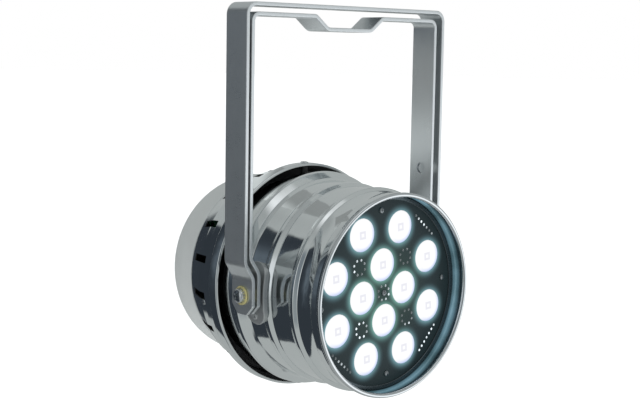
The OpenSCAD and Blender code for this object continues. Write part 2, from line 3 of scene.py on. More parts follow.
import bmesh
import bpy
from mathutils import Matrix, Vector
from mathutils.geometry import tessellate_polygon


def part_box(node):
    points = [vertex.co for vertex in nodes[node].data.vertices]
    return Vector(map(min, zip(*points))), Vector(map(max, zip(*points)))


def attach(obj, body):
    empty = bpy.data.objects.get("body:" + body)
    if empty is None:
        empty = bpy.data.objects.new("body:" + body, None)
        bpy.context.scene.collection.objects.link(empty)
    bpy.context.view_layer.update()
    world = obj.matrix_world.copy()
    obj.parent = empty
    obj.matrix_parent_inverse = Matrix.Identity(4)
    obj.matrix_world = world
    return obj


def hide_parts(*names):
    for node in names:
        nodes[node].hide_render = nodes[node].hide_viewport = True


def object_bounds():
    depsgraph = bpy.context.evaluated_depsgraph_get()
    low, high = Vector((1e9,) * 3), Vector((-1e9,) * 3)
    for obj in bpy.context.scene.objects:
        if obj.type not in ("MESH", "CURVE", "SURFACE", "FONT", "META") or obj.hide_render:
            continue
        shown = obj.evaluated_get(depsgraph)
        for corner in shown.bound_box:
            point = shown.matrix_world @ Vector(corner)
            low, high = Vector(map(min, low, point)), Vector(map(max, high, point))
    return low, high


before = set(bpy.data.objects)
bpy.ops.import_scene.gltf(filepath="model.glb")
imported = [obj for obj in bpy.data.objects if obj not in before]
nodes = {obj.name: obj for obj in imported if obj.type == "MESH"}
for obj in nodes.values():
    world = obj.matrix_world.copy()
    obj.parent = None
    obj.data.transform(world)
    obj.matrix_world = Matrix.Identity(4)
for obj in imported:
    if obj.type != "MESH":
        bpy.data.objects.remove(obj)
cad_low, cad_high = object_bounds()

MM = 0.001
SHARP = math.radians(38)

# ---- frame of the can ----------------------------------------------------------------------
# The tilt axis runs through the pivot bolts. The can's own axes are x right, y up and z forward,
# and it hangs one degree nose down, as the CAD does.
REST_TILT = 1.0
PLATE_TURN = 5.0
bolt_low, bolt_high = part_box("pivot_bolts")
PIVOT_Z = (bolt_low.z + bolt_high.z) / 2
AT_PIVOT = Matrix.Translation((0, 0, PIVOT_Z))
IN_CAN = AT_PIVOT @ Matrix.Rotation(math.radians(90 + REST_TILT), 4, "X")
IN_PLATE = IN_CAN @ Matrix.Rotation(math.radians(PLATE_TURN), 4, "Z")

# ---- camera --------------------------------------------------------------------------------
CAMERA_AT = (-0.94523, -1.03644, -0.05055)
CAMERA_AZIMUTH = -42.432
CAMERA_ELEVATION = 6.258
CAMERA_ROLL = 1.08
CAMERA_LENS = 71.918
CAMERA_SHIFT = (-0.03187, -0.01008)


def make_camera():
    data = bpy.data.cameras.new("camera")
    data.lens = CAMERA_LENS
    data.sensor_width = 36
    data.shift_x, data.shift_y = CAMERA_SHIFT
    data.clip_start, data.clip_end = 0.05, 60
    camera = bpy.data.objects.new("camera", data)
    a, e = math.radians(CAMERA_AZIMUTH), math.radians(CAMERA_ELEVATION)
    back = Vector((math.sin(a) * math.cos(e), -math.cos(a) * math.cos(e), math.sin(e)))
    right = Vector((math.cos(a), math.sin(a), 0))
    up = back.cross(right)
    axes = Matrix((right, up, back)).transposed().to_4x4()
    roll = Matrix.Rotation(math.radians(CAMERA_ROLL), 4, "Z")
    camera.matrix_world = Matrix.Translation(CAMERA_AT) @ axes @ roll
    bpy.context.scene.collection.objects.link(camera)
    bpy.context.scene.camera = camera


# ---- shader building -----------------------------------------------------------------------
class Graph:
    """Adds nodes to one node tree. Inputs may be numbers, colours or another node's output."""

    def __init__(self, tree):
        self.tree = tree
        tree.nodes.clear()

    def put(self, socket, value):
        if value is None:
            return
        if isinstance(value, bpy.types.NodeSocket):
            self.tree.links.new(value, socket)
        elif hasattr(value, "__len__") and socket.type == "RGBA" and len(value) == 3:
            socket.default_value = (*value, 1)
        else:
            socket.default_value = value

    def add(self, kind, inputs=None, **settings):
        node = self.tree.nodes.new(kind)
        for key, value in settings.items():
            setattr(node, key, value)
        for key, value in (inputs or {}).items():
            self.put(node.inputs[key], value)
        return node

    def math(self, operation, a, b=None, c=None, clamp=False):
        node = self.add("ShaderNodeMath", operation=operation, use_clamp=clamp)
        for socket, value in zip(node.inputs, (a, b, c)):
            self.put(socket, value)
        return node.outputs[0]

    def vector(self, operation, a, b=None, scale=None):
        node = self.add("ShaderNodeVectorMath", operation=operation)
        self.put(node.inputs[0], a)
        self.put(node.inputs[1], b)
        self.put(node.inputs[3], scale)
        return node.outputs[1 if operation in ("LENGTH", "DISTANCE") else 0]

    def ramp(self, value, low, high, out_low=0.0, out_high=1.0, smooth=True):
        kind = "SMOOTHSTEP" if smooth else "LINEAR"
        node = self.add("ShaderNodeMapRange", interpolation_type=kind, clamp=True)
        for key, number in zip(range(5), (value, low, high, out_low, out_high)):
            self.put(node.inputs[key], number)
        return node.outputs[0]

    def between(self, value, low, high, soft):
        rising = self.ramp(value, low - soft, low + soft)
        return self.math("MULTIPLY", rising, self.ramp(value, high - soft, high + soft, 1, 0))

    def mix(self, share, a, b):
        node = self.add("ShaderNodeMix", data_type="RGBA")
        self.put(node.inputs["Factor"], share)
        self.put(node.inputs[6], a)
        self.put(node.inputs[7], b)
        return node.outputs[2]

    def place(self):
        return self.add("ShaderNodeTexCoord").outputs["Object"]

    def noise(self, vector, scale, detail=3.0, roughness=0.55):
        inputs = {"Vector": vector, "Scale": scale, "Detail": detail, "Roughness": roughness}
        return self.add("ShaderNodeTexNoise", inputs).outputs["Fac"]

    def stretch(self, vector, scale):
        return self.add("ShaderNodeMapping", {"Vector": vector, "Scale": scale}).outputs[0]

    def bump(self, height, strength, distance, normal=None):
        inputs = {"Height": height, "Strength": strength, "Distance": distance, "Normal": normal}
        return self.add("ShaderNodeBump", inputs).outputs[0]

    def principled(self, **inputs):
        named = {key.replace("_", " "): value for key, value in inputs.items()}
        node = self.add("ShaderNodeBsdfPrincipled", named)
        out = self.add("ShaderNodeOutputMaterial")
        self.tree.links.new(node.outputs[0], out.inputs[0])
        return node


def new_material(name):
    made = bpy.data.materials.new(name)
    made.use_nodes = True
    return made, Graph(made.node_tree)


def shade_of(colour, factor):
    return tuple(min(1.0, c * factor) for c in colour)


def grained(name, colour, metallic=0.0, roughness=0.5, grain=900.0, stretch=(1, 1, 1), spread=0.08,
            tone=0.12, relief=0.1, depth=0.0002, mottle=40.0, **extra):
    """A finish with fine grain in its relief and roughness, and slow mottling in its colour."""
    made, g = new_material(name)
    where = g.place()
    fine = g.noise(g.stretch(where, stretch), grain)
    slow = g.noise(where, mottle, 2.0)
    tint = g.mix(slow, shade_of(colour, 1 - tone), shade_of(colour, 1 + tone))
    rough = g.math("ADD", g.ramp(fine, 0.25, 0.75, roughness - spread, roughness + spread, False),
                   g.ramp(slow, 0.3, 0.7, -spread / 2, spread / 2, False))
    g.principled(Base_Color=tint, Metallic=metallic, Roughness=rough,
                 Normal=g.bump(fine, relief, depth), **extra)
    return made


def spun_metal(name, colour, roughness, wave, line_relief, spread=0.05, metallic=1.0):
    """Polished or satin spun sheet: fine lines round the axis, slow dents and a few rub marks."""
    made, g = new_material(name)
    where = g.place()
    flat = g.vector("MULTIPLY", where, (1, 1, 0))
    radius = g.vector("LENGTH", flat)
    axial = g.add("ShaderNodeSeparateXYZ", {0: where}).outputs["Z"]
    rings = g.add("ShaderNodeCombineXYZ", {"X": radius, "Y": axial}).outputs[0]
    lines = g.noise(g.vector("ADD", rings, g.vector("SCALE", where, scale=0.02)), 2600.0, 2.0)
    slow = g.noise(g.stretch(where, (1, 1, 1.6)), 17.0, 1.5, 0.4)
    smudge = g.noise(where, 70.0, 4.0, 0.6)
    rough = g.math("ADD", g.ramp(smudge, 0.35, 0.75, roughness, roughness + spread, False),
                   g.ramp(lines, 0.3, 0.7, 0.0, spread * 0.6, False))
    tint = g.mix(smudge, shade_of(colour, 0.95), shade_of(colour, 1.03))
    dents = g.bump(slow, wave, 0.02)
    g.principled(Base_Color=tint, Metallic=metallic, Roughness=rough,
                 Normal=g.bump(lines, line_relief, 0.00005, dents))
    return made


LENS_R = 17.8
INNER_PCR, OUTER_PCR = 30.6, 73.0
QUARTERS = (0, 90, 180, 270)
LENS_SPOTS = [(INNER_PCR, a) for a in QUARTERS]
LENS_SPOTS += [(OUTER_PCR, 22.5 + 45 * k) for k in range(8)]
HALO_FROM, HALO_TO = 0.0172, 0.0275    # metres from a lens's middle
HALO_SHIFT = 0.0012                    # the halos lean a little to one side


def polar(radius, degrees):
    return (radius * math.cos(math.radians(degrees)), radius * math.sin(math.radians(degrees)))


def plate_paint(name):
    """Near-black lacquer with the lenses' light spilling on to it round each opening."""
    made, g = new_material(name)
    where = g.place()
    nearest = None
    for radius, degrees in LENS_SPOTS:
        x, y = polar(radius * MM, degrees)
        x -= HALO_SHIFT
        flat = g.vector("MULTIPLY", g.vector("SUBTRACT", where, (x, y, 0)), (1, 1, 0))
        away = g.vector("LENGTH", flat)
        nearest = away if nearest is None else g.math("SMOOTH_MIN", nearest, away, 0.004)
    halo = g.math("POWER", g.ramp(nearest, HALO_FROM, HALO_TO, 1, 0, False), 2.6)
    centre = g.vector("LENGTH", g.vector("MULTIPLY", where, (1, 1, 0)))
    # painted light: a faint glow of the lenses' light over the whole plate, stronger toward its middle
    spread_glow = g.ramp(centre, 0.02, 0.10, 0.046, 0.020)
    fine = g.noise(where, 1400.0)
    patch = g.noise(where, 22.0, 2.0)
    tint = g.mix(patch, (0.008, 0.011, 0.012), (0.013, 0.018, 0.020))
    outward = g.ramp(centre, 0.030, 0.075)
    glow = g.mix(outward, (0.36, 0.80, 0.68), (0.38, 0.74, 0.84))
    g.principled(Base_Color=tint, Roughness=g.ramp(fine, 0.3, 0.7, 0.42, 0.54, False),
                 Normal=g.bump(fine, 0.12, 0.0002), Specular_IOR_Level=0.16, Emission_Color=glow,
                 Emission_Strength=g.math("MULTIPLY_ADD", halo, 0.42, spread_glow))
    return made


def lit_wall(name):
    """The bore of the can: dark bare metal that takes the lenses' light near the plate."""
    made, g = new_material(name)
    where = g.place()
    ahead = g.add("ShaderNodeSeparateXYZ", {0: where}).outputs["Z"]
    near = g.math("MULTIPLY", g.ramp(ahead, 0.0745, 0.0780), g.ramp(ahead, 0.0810, 0.0875, 1, 0))
    slow = g.noise(g.stretch(where, (1, 1, 0.2)), 24.0, 2.0)
    fine = g.noise(g.stretch(where, (1, 1, 12)), 500.0)
    glow = g.mix(slow, (0.10, 0.26, 0.28), (0.22, 0.38, 0.50))
    g.principled(Base_Color=g.mix(slow, (0.10, 0.15, 0.17), (0.17, 0.23, 0.26)), Metallic=0.9,
                 Roughness=g.ramp(fine, 0.3, 0.7, 0.20, 0.28), Normal=g.bump(fine, 0.1, 0.0001),
                 Emission_Color=glow,
                 Emission_Strength=g.math("MULTIPLY", near, g.ramp(slow, 0.3, 0.7, 0.22, 0.60)))
    return made


def lit_edge(name):
    """The walls of the small holes, lit by the lenses from behind."""
    made, g = new_material(name)
    patch = g.noise(g.place(), 38.0, 1.0)
    g.principled(Base_Color=g.mix(patch, (0.10, 0.12, 0.12), (0.16, 0.18, 0.18)), Roughness=0.5,
                 Emission_Color=(0.86, 0.95, 1.0), Emission_Strength=g.ramp(patch, 0.42, 0.60, 0.12, 1.1))
    return made


def lens_glow(name):
    """A lit collimating lens: white nearly all over, with the die's pattern and a cooler rim."""
    made, g = new_material(name)
    where = g.place()
    flat = g.vector("MULTIPLY", where, (1, 1, 0))
    radius = g.vector("LENGTH", flat)
    parts = g.add("ShaderNodeSeparateXYZ", {0: where})
    side = g.math("SUBTRACT", parts.outputs["X"], parts.outputs["Y"])
    square = g.math("MAXIMUM", g.math("ABSOLUTE", parts.outputs["X"]), g.math("ABSOLUTE", parts.outputs["Y"]))
    ring = g.math("MULTIPLY", g.ramp(square, 0.0014, 0.0024), g.ramp(square, 0.0036, 0.0050, 1, 0))
    facets = g.add("ShaderNodeTexVoronoi", {"Vector": where, "Scale": 420.0}, feature="DISTANCE_TO_EDGE")
    cells = g.ramp(facets.outputs["Distance"], 0.02, 0.30)
    rim = g.math("MULTIPLY", g.ramp(radius, 0.0120, 0.0176), g.ramp(side, -0.004, 0.018))
    die = g.mix(g.math("MULTIPLY", ring, 0.5), (1.0, 1.0, 1.0), (0.62, 0.62, 0.72))
    tone = g.mix(g.math("MULTIPLY", rim, 0.9), die, (0.50, 0.60, 0.90))
    faint = g.mix(g.math("MULTIPLY", cells, 0.10), tone, (0.72, 0.74, 0.90))
    g.principled(Base_Color=(0.03, 0.03, 0.04), Roughness=g.ramp(cells, 0, 1, 0.12, 0.24),
                 Specular_IOR_Level=0.15, Normal=g.bump(cells, 0.25, 0.0003), Emission_Color=faint,
                 Emission_Strength=g.ramp(radius, 0.0168, 0.0179, 0.98, 0.80))
    return made


def circuit_board(name, colour, trace, scale):
    """Lacquered board with routed tracks and pads under the lacquer."""
    made, g = new_material(name)
    where = g.place()
    tracks = g.add("ShaderNodeTexBrick", {"Vector": where, "Scale": scale, "Mortar Size": 0.03,
                                         "Color1": shade_of(colour, 0.85), "Color2": colour, "Mortar": trace})
    fine = g.noise(where, 900.0)
    g.principled(Base_Color=tracks.outputs["Color"], Roughness=g.ramp(fine, 0.3, 0.7, 0.28, 0.42),
                 Normal=g.bump(tracks.outputs["Fac"], 0.2, 0.0002))
    return made


STEEL = (0.66, 0.68, 0.69)
MATERIALS = {
    "paint": grained("paint", (0.66, 0.69, 0.705), 0.88, 0.31, 1500.0, spread=0.05, tone=0.05,
                     relief=0.10, depth=0.0002),
    "polish": spun_metal("polish", (0.80, 0.83, 0.835), 0.035, 0.035, 0.05),
    "bright_rim": spun_metal("bright_rim", (0.64, 0.665, 0.68), 0.08, 0.02, 0.1),
    "can_inside": lit_wall("can_inside"),
    "cap_inside": grained("cap_inside", (0.03, 0.032, 0.034), 0.2, 0.6, 300.0, relief=0.2),
    "cap_polish": spun_metal("cap_polish", (0.76, 0.79, 0.80), 0.05, 0.03, 0.06),
    "cap_satin": spun_metal("cap_satin", (0.64, 0.665, 0.66), 0.52, 0.03, 0.5, 0.06, 0.30),
    "pad": grained("pad", (0.44, 0.46, 0.465), 0.75, 0.36, 1100.0, tone=0.06, relief=0.12),
    "pin_hole": lit_edge("pin_hole"),
    "screw": grained("screw", STEEL, 1.0, 0.22, 1400.0, tone=0.10, relief=0.10, mottle=300.0),
    "dim_screw": grained("dim_screw", (0.22, 0.24, 0.25), 1.0, 0.30, 1400.0, tone=0.10, relief=0.10,
                         mottle=300.0),
    "yellow_zinc": grained("yellow_zinc", (0.84, 0.76, 0.36), 0.6, 0.34, 900.0, tone=0.12,
                           relief=0.12, mottle=260.0),
    "brass": grained("brass", (0.72, 0.52, 0.22), 1.0, 0.30, 900.0, tone=0.08),
    "nylon": grained("nylon", (0.02, 0.021, 0.022), 0.0, 0.5, 700.0, relief=0.25),
    "plate": plate_paint("plate"),
    "plate_ring": grained("plate_ring", (0.07, 0.09, 0.10), 0.7, 0.26, 900.0, tone=0.1, relief=0.1),
    "lens": lens_glow("lens"),
    "holder": grained("holder", (0.03, 0.032, 0.034), 0.0, 0.55, 500.0, relief=0.3),
    "board_white": circuit_board("board_white", (0.78, 0.80, 0.76), (0.55, 0.57, 0.53), 60.0),
    "emitter": grained("emitter", (0.85, 0.72, 0.22), 0.0, 0.3, 800.0, Coat_Weight=0.5),
    "sink": grained("sink", (0.42, 0.43, 0.44), 1.0, 0.42, 700.0, (1, 1, 12), relief=0.3),
    "sheet": grained("sheet", (0.55, 0.57, 0.58), 1.0, 0.38, 900.0, (1, 10, 1), relief=0.2),
    "board_green": circuit_board("board_green", (0.02, 0.16, 0.07), (0.05, 0.28, 0.12), 90.0),
    "panel": grained("panel", (0.018, 0.019, 0.021), 0.1, 0.46, 1300.0, relief=0.35, depth=0.0003),
    "window": grained("window", (0.10, 0.006, 0.008), 0.0, 0.10, 600.0, spread=0.03, relief=0.03,
                      Coat_Weight=0.8),
    "button": grained("button", (0.035, 0.037, 0.04), 0.0, 0.42, 900.0, relief=0.25),
    "socket": grained("socket", (0.22, 0.225, 0.23), 0.9, 0.34, 900.0, relief=0.2),
    "contact": grained("contact", (0.80, 0.76, 0.66), 1.0, 0.2, 900.0, relief=0.1),
    "socket_black": grained("socket_black", (0.022, 0.023, 0.025), 0.0, 0.44, 800.0, relief=0.3),
}


# ---- mesh building -------------------------------------------------------------------------
def corner_samples(p, q, r, bend, steps):
    """Rounds corner q between p and r, as (point, heading) samples."""
    a, b = (q - p).normalized(), (r - q).normalized()
    first = math.atan2(a.y, a.x)
    turn = math.atan2(a.cross(b), a.dot(b))
    if abs(turn) < math.radians(1) or bend == 0:
        return [(q, first + turn / 2)]
    side = 1 if turn > 0 else -1
    start = q - a * bend * math.tan(abs(turn) / 2)
    centre = start + side * bend * Vector((-math.sin(first), math.cos(first)))
    made = []
    for k in range(steps + 1):
        h = first + turn * k / steps
        made.append((centre - side * bend * Vector((-math.sin(h), math.cos(h))), h))
    return made


def form(run, steps):
    """A run of (x, y, bend radius) corners as (point, heading) samples, as the CAD forms it."""
    points = [Vector(c[:2]) for c in run]
    ends = [(points[1] - points[0]), (points[-1] - points[-2])]
    made = [(points[0], math.atan2(ends[0].y, ends[0].x))]
    for i in range(1, len(run) - 1):
        made += corner_samples(points[i - 1], points[i], points[i + 1], run[i][2], steps)
    return made + [(points[-1], math.atan2(ends[1].y, ends[1].x))]


def shifted(samples, distance):
    """Moves a formed run to its left."""
    return [p + distance * Vector((-math.sin(h), math.cos(h))) for p, h in samples]


def lathe(bm, profile, segments, closed=False, first=0.0, slot=0):
    """Turns (radius, height) points about Z. A point at radius 0 closes the end."""
    rings = []
    for r, z in profile:
        if r < 1e-6:
            rings.append([bm.verts.new((0, 0, z))] * segments)
            continue
        ring = []
        for i in range(segments):
            a = first + 2 * math.pi * i / segments
            ring.append(bm.verts.new((r * math.cos(a), r * math.sin(a), z)))
        rings.append(ring)
    pairs = list(zip(rings, rings[1:] + rings[:1])) if closed else list(zip(rings, rings[1:]))
    faces = []
    for low, high in pairs:
        row = []
        for i in range(segments):
            j = (i + 1) % segments
            corners = list(dict.fromkeys([low[i], low[j], high[j], high[i]]))
            face = bm.faces.new(corners)
            face.material_index = slot
            row.append(face)
        faces.append(row)
    return faces


def inset(loop, distance):
    """Moves a closed loop to its left by distance, with mitred corners."""
    made = []
    for i, here in enumerate(loop):
        a = (here - loop[i - 1]).normalized()
        b = (loop[(i + 1) % len(loop)] - here).normalized()
        na, nb = Vector((-a.y, a.x)), Vector((-b.y, b.x))
        mitre = (na + nb).normalized()
        made.append(here + mitre * distance / max(0.3, mitre.dot(na)))
    return made


def circle(x, y, radius, count, hole=True):
    turn = -1 if hole else 1
    angles = [turn * 2 * math.pi * i / count for i in range(count)]
    return [Vector((x + radius * math.cos(a), y + radius * math.sin(a))) for a in angles]


def slab(bm, loops, low, high, edge, steps=3, wall_slot=None):
    """A flat plate with rounded edges. loops is the outline, anticlockwise, then the holes, clockwise.
    wall_slot(i) gives the material index of loop i's wall."""
    arc = [math.radians(90 * i / steps) for i in range(steps + 1)]
    levels = [(edge * (1 - math.sin(a)), low + edge * (1 - math.cos(a))) for a in arc]
    levels += [(edge * (1 - math.sin(a)), high - edge * (1 - math.cos(a))) for a in reversed(arc)]
    rings = []
    for step_in, z in levels:
        rings.append([[bm.verts.new((p.x, p.y, z)) for p in inset(loop, step_in)] for loop in loops])
    for below, above in zip(rings, rings[1:]):
        for n, (one, two) in enumerate(zip(below, above)):
            for i in range(len(one)):
                j = (i + 1) % len(one)
                wall = bm.faces.new((one[i], one[j], two[j], two[i]))
                wall.material_index = wall_slot(n) if wall_slot else 0
    for ring, upward in ((rings[0], False), (rings[-1], True)):
        flat = [v for loop in ring for v in loop]
        for triangle in tessellate_polygon([[v.co.to_3d() for v in loop] for loop in ring]):
            corners = [flat[i] for i in triangle]
            normal = (corners[1].co - corners[0].co).cross(corners[2].co - corners[0].co)
            if normal.length < 1e-12:
                continue
            if (normal.z > 0) != upward:
                corners.reverse()
            bm.faces.new(corners)


def slice_along(bm, axis, places):
    """Cuts the mesh across an axis at each place, so that it can be bent there."""
    normal = Vector([float(i == axis) for i in range(3)])
    for place in places:
        geometry = list(bm.verts) + list(bm.edges) + list(bm.faces)
        bmesh.ops.bisect_plane(bm, geom=geometry, dist=1e-6, plane_co=normal * place, plane_no=normal)


def as_object(name, bm, body, materials, stands_for=(), where=None, scale=MM, weighted=False):
    """Makes a piece from a mesh in millimetres, puts it in place and hangs it on its body."""
    bmesh.ops.remove_doubles(bm, verts=bm.verts, dist=1e-5)
    bmesh.ops.recalc_face_normals(bm, faces=bm.faces)
    bmesh.ops.scale(bm, vec=(scale,) * 3, verts=bm.verts)
    mesh = bpy.data.meshes.new(name)
    bm.to_mesh(mesh)
    bm.free()
    mesh.shade_smooth()
    mesh.set_sharp_from_angle(angle=SHARP)
    for material in materials:
        mesh.materials.append(MATERIALS[material])
    made = bpy.data.objects.new(name, mesh)
    made.matrix_world = where or Matrix.Identity(4)
    bpy.context.scene.collection.objects.link(made)
    if weighted:
        modifier = made.modifiers.new("even_normals", "WEIGHTED_NORMAL")
        modifier.keep_sharp = True
    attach(made, body)
    if stands_for:
        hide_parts(*stands_for)
    return made


# ---- brackets ------------------------------------------------------------------------------
BAR_W, BAR_T, BAR_EDGE = 34.0, 4.0, 0.6
FOOT_DROP, FOOT_CHAMFER = 20.3, 10.0
OUTER_FOOT, OUTER_LEG, OUTER_TOP = 134.0, 144.5, 303.0
INNER_FOOT, INNER_LEG, INNER_TOP = 126.8, 135.0, 293.0
INNER_SHIFT = -3.0
DIP_TOP, DIP_FLOOR, DIP_DEPTH = 48.0, 30.8, 13.6
BOLT_HOLE_R, HANGING_HOLE_R, SIDE_HOLE_R, SIDE_HOLE_UP = 4.1, 6.25, 6.0, 121.0


def outer_side(s):
    """One side of the hanging bracket's run: foot, jog outward, leg and top corner."""
    foot, leg = s * OUTER_FOOT, s * OUTER_LEG
    return [(foot, -FOOT_DROP, 0), (foot, 18, 14), (leg, 34.5, 14), (leg, OUTER_TOP, 13)]


def inner_side(s):
    """One side of the floor bracket's run, up to the dip in the middle of its top."""
    foot, leg = s * INNER_FOOT, s * INNER_LEG + INNER_SHIFT
    dip_top, dip_floor = s * DIP_TOP + INNER_SHIFT, s * DIP_FLOOR + INNER_SHIFT
    return [(foot, -FOOT_DROP, 0), (foot, 23.5, 14), (leg, 39.5, 14), (leg, INNER_TOP, 10),
            (dip_top, INNER_TOP, 8), (dip_floor, INNER_TOP - DIP_DEPTH, 8)]


def bar(name, side, holes, material):
    """One bracket: a flat bar with rounded edges, bored while it is flat and then bent to its run."""
    samples = form(side(1) + side(-1)[::-1], 12)
    reach = [0.0]
    for (p, _), (q, _) in zip(samples, samples[1:]):
        reach.append(reach[-1] + (q - p).length)
    total, half = reach[-1], BAR_W / 2

    def along(x, z):
        """How far along the run the point nearest to (x, z) is."""
        best = min(range(len(samples) - 1), key=lambda i: gap_to(i, Vector((x, z))))
        p, q = samples[best][0], samples[best + 1][0]
        share = (Vector((x, z)) - p).dot(q - p) / (q - p).length_squared
        return reach[best] + share * (reach[best + 1] - reach[best])

    def gap_to(i, point):
        p, q = samples[i][0], samples[i + 1][0]
        if (q - p).length < 1e-9:
            return 1e9
        share = max(0.0, min(1.0, (point - p).dot(q - p) / (q - p).length_squared))
        return (p + (q - p) * share - point).length

    c = FOOT_CHAMFER
    outline = rounded_loop([Vector(p) for p in foot_outline(total, half, c)], 2.5, 4)
    loops = [outline] + [circle(along(x, z), 0, r, 40) for x, z, r in holes]
    bm = bmesh.new()
    slab(bm, loops, 0, BAR_T, BAR_EDGE)
    slice_along(bm, 0, reach[1:-1])
    for v in bm.verts:
        u = min(max(v.co.x, 0.0), total)
        i = max(k for k in range(len(reach) - 1) if reach[k] <= u + 1e-7)
        span = reach[i + 1] - reach[i]
        share = (v.co.x - reach[i]) / span if span > 1e-9 else 0.0
        (p, h0), (q, h1) = samples[i], samples[i + 1]
        h = h0 + (h1 - h0) * share
        point = p + (q - p) * share + v.co.z * Vector((-math.sin(h), math.cos(h)))
        v.co = (point.x, v.co.y, point.y)
    body = "hanger" if name == "outer_bracket" else "floor_bracket"
    return as_object("visual_" + name, bm, body, [material], [name], AT_PIVOT, weighted=True)


def foot_outline(total, half, c):
    """The flat bar's outline with both ends' corners cut off, anticlockwise."""
    return [(0, -half + c), (c, -half), (total - c, -half), (total, -half + c),
            (total, half - c), (total - c, half), (c, half), (0, half - c)]


def rounded_loop(loop, radius, steps):
    """Rounds every corner of a closed loop."""
    made = []
    for i, here in enumerate(loop):
        made += [p for p, _ in corner_samples(loop[i - 1], here, loop[(i + 1) % len(loop)], radius, steps)]
    return made


def make_brackets():
    bores = [(s * OUTER_FOOT, 0, BOLT_HOLE_R) for s in (1, -1)]
    bar("outer_bracket", outer_side, bores + [(0, OUTER_TOP, HANGING_HOLE_R)], "paint")
    holes = [(s * INNER_FOOT, 0, BOLT_HOLE_R) for s in (1, -1)]
    holes += [(s * INNER_LEG + INNER_SHIFT, SIDE_HOLE_UP, SIDE_HOLE_R) for s in (1, -1)]
    bar("inner_bracket", inner_side, holes, "paint")


# ---- can and rear cap ----------------------------------------------------------------------
WALL = 1.4
RIM_AHEAD, BEAD_R, BEAD_AT = 92.0, 2.5, 107.5
BEAD_FROM, BEAD_TURN, BEAD_STEPS = -64, 312, 24    # the rolled front edge, in degrees of its roll
CAN_RUN = [
    (112, -84, 0), (112, -51.8, 1.6), (118.2, -50, 1.6), (117.4, -35.8, 1.5), (120.6, -33, 2),
    (120.2, -28.5, 4), (113.6, -21.5, 3), (111.6, -17.5, 4), (110.7, 4.5, 3), (112.4, 8.5, 2),
    (112.2, 12.5, 2), (109, 17.5, 3), (108.7, 46, 4), (111.4, 51, 3), (111.3, 54.5, 2),
    (108, 58, 2), (106.2, 68.5, 45), (107.8, 79, 1.5), (108.8, 80.5, 1.5), (108.8, 87.5, 2), (108.3, 89.5, 0),
]
CAP_LIP = (66, -195)
DOME_AT, DOME_R = (46, -142.5), 60.0
CAP_RUN = [
    (106.2, -128.5, 1), (107.6, -126, 1), (117.2, -99, 20), (118.4, -87.8, 0), (119.6, -87, 0.8),
    (120.2, -72, 3), (127.2, -67.6, 2.5), (127.2, -55.2, 1.5), (124.8, -54, 0),
]
SEGMENTS = 270
TRAP_R = 117.8      # a dark ring on the can's neck, so that no light comes through the slots
LIP_FROM = -57.0    # ahead of this the cap's rim keeps a bright edge
VENT_Z, VENT_L, VENT_FIRST, VENT_COUNT, VENT_STEPS = -103.25, 29.5, 9.0, 18, 3


def make_can():
    """The can as one lathed loop: its skin, the bead, its lining, and the dark ring at its neck."""
    outer = form(CAN_RUN, 7)
    skin = [tuple(p) for p in shifted(outer, 0)]
    lining = [tuple(p) for p in shifted(outer, WALL)]
    bead = []
    for k in range(BEAD_STEPS + 1):
        a = math.radians(BEAD_FROM + BEAD_TURN * k / BEAD_STEPS)
        bead.append((BEAD_AT + BEAD_R * math.cos(a), RIM_AHEAD + BEAD_R * math.sin(a)))
    trap = [(TRAP_R, skin[0][1] - WALL), (TRAP_R, skin[0][1])]
    bm = bmesh.new()
    rows = lathe(bm, skin + bead + lining[::-1] + trap, SEGMENTS, closed=True)
    for i, row in enumerate(rows):
        kind = 0 if i < len(skin) - 1 else 1 if i < len(skin) + len(bead) - 1 else 2
        if i >= len(rows) - len(trap) - 1:
            kind = 3
        for face in row:
            face.material_index = kind
    as_object("visual_can", bm, "can", ["polish", "bright_rim", "can_inside", "cap_inside"],
              ["can_shell"], IN_CAN)


def make_cap():
    """The rear cap's outer face as a grid, with the slots left out, then given its thickness."""
    end = math.asin((DOME_AT[1] - CAP_LIP[1]) / DOME_R)
    steps = 18
    dome = []
    for k in range(steps, -1, -1):
        a = end * k / steps
        dome.append((DOME_AT[0] + DOME_R * math.cos(a), DOME_AT[1] - DOME_R * math.sin(a)))
    dome += [(106.15, -135.5)]
    belt = [tuple(p) for p in shifted(form([(106.0, -142.5, 0)] + CAP_RUN, 6), 0)][1:]
    cuts = [VENT_Z - VENT_L / 2, VENT_Z + VENT_L / 2]
    belt = with_rings(belt, cuts)
    profile = [CAP_LIP] + dome + belt
    pitch = 2 * math.pi / SEGMENTS
    first = math.radians(VENT_FIRST) - VENT_STEPS / 2 * pitch
    bm = bmesh.new()
    rows = lathe(bm, profile, SEGMENTS, first=first)
    satin_until = len(dome) + 1
    per_vent = SEGMENTS // VENT_COUNT
    dropped = []
    for i, row in enumerate(rows):
        middle = (profile[i][1] + profile[i + 1][1]) / 2
        in_vent = abs(middle - VENT_Z) < VENT_L / 2 and i >= satin_until
        for k, face in enumerate(row):
            face.material_index = 1 if i < satin_until else 0 if middle > LIP_FROM else 2
            if in_vent and k % per_vent < VENT_STEPS:
                dropped.append(face)
    bmesh.ops.delete(bm, geom=dropped, context="FACES")
    finishes = ["cap_polish", "cap_satin", "cap_polish", "cap_inside"]
    cap = as_object("visual_cap", bm, "can", finishes, ["rear_cap"], IN_CAN)
    shell = cap.modifiers.new("sheet", "SOLIDIFY")
    shell.thickness = WALL * MM
    shell.offset = -1
    shell.use_even_offset = True
    shell.material_offset = 3
    shell.material_offset_rim = 1
    crisp = cap.modifiers.new("crisp", "EDGE_SPLIT")
    crisp.split_angle = SHARP
    return cap


def with_rings(points, heights):
    """Adds a point to a profile at each height that it passes."""
    made = [points[0]]
    for a, b in zip(points, points[1:]):
        for h in sorted(heights):
            if a[1] + 0.05 < h < b[1] - 0.05:
                share = (h - a[1]) / (b[1] - a[1])
                made.append((a[0] + (b[0] - a[0]) * share, h))
        made.append(b)
    return made


